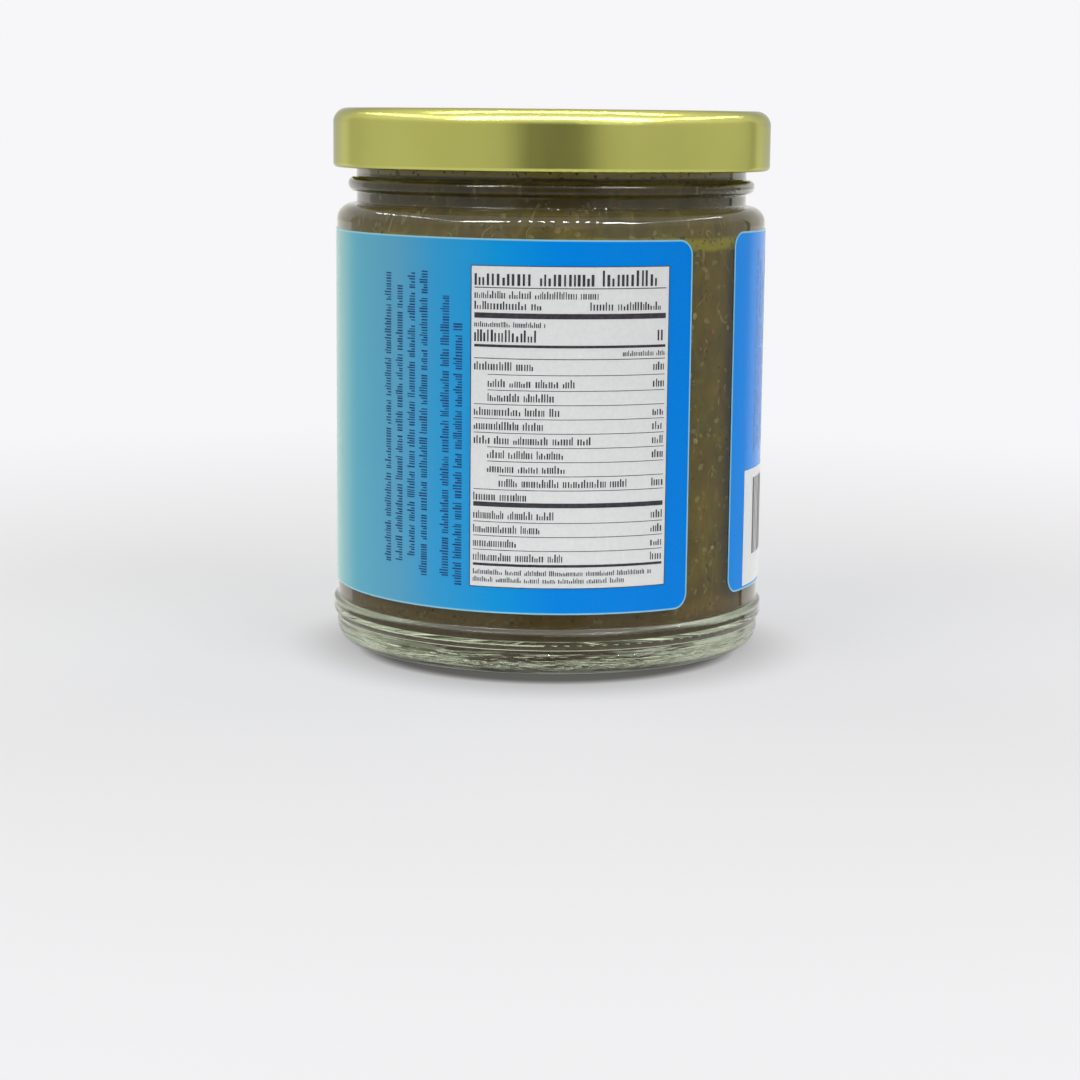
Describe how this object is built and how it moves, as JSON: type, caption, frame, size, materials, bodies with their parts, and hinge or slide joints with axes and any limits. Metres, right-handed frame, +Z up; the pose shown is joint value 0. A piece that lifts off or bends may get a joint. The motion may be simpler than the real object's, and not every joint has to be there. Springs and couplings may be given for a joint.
{
  "type": "filled glass food jar with a lug cap",
  "caption": "Straight-sided clear glass jar filled with olive-brown chutney, closed by a gold lug cap, with a blue wrap-round label.",
  "frame": {"origin": "centre of the ring that the jar stands on, on its underside", "axes": "+Z up along the jar's axis; -Y towards the front, where the printed panel is; +X to the viewer's right"},
  "size_m": [0.0742, 0.0742, 0.0905],
  "materials": {
    "jar_glass": "clear flint glass, faint green tint",
    "chutney": "wet, coarse paste with herb flecks",
    "cap_gold": "satin gold lacquer on tinplate",
    "seal_compound": "soft off-white sealing compound",
    "label_film": "printed film, blue to pale green",
    "label_print": "white panels and dark rules printed on the label"
  },
  "bodies": {
    "root": {"jar_glass": "jar_glass", "chutney": "chutney", "lid": "cap_gold", "lid_seal": "seal_compound", "label": "label_film"}
  },
  "joints": []
}
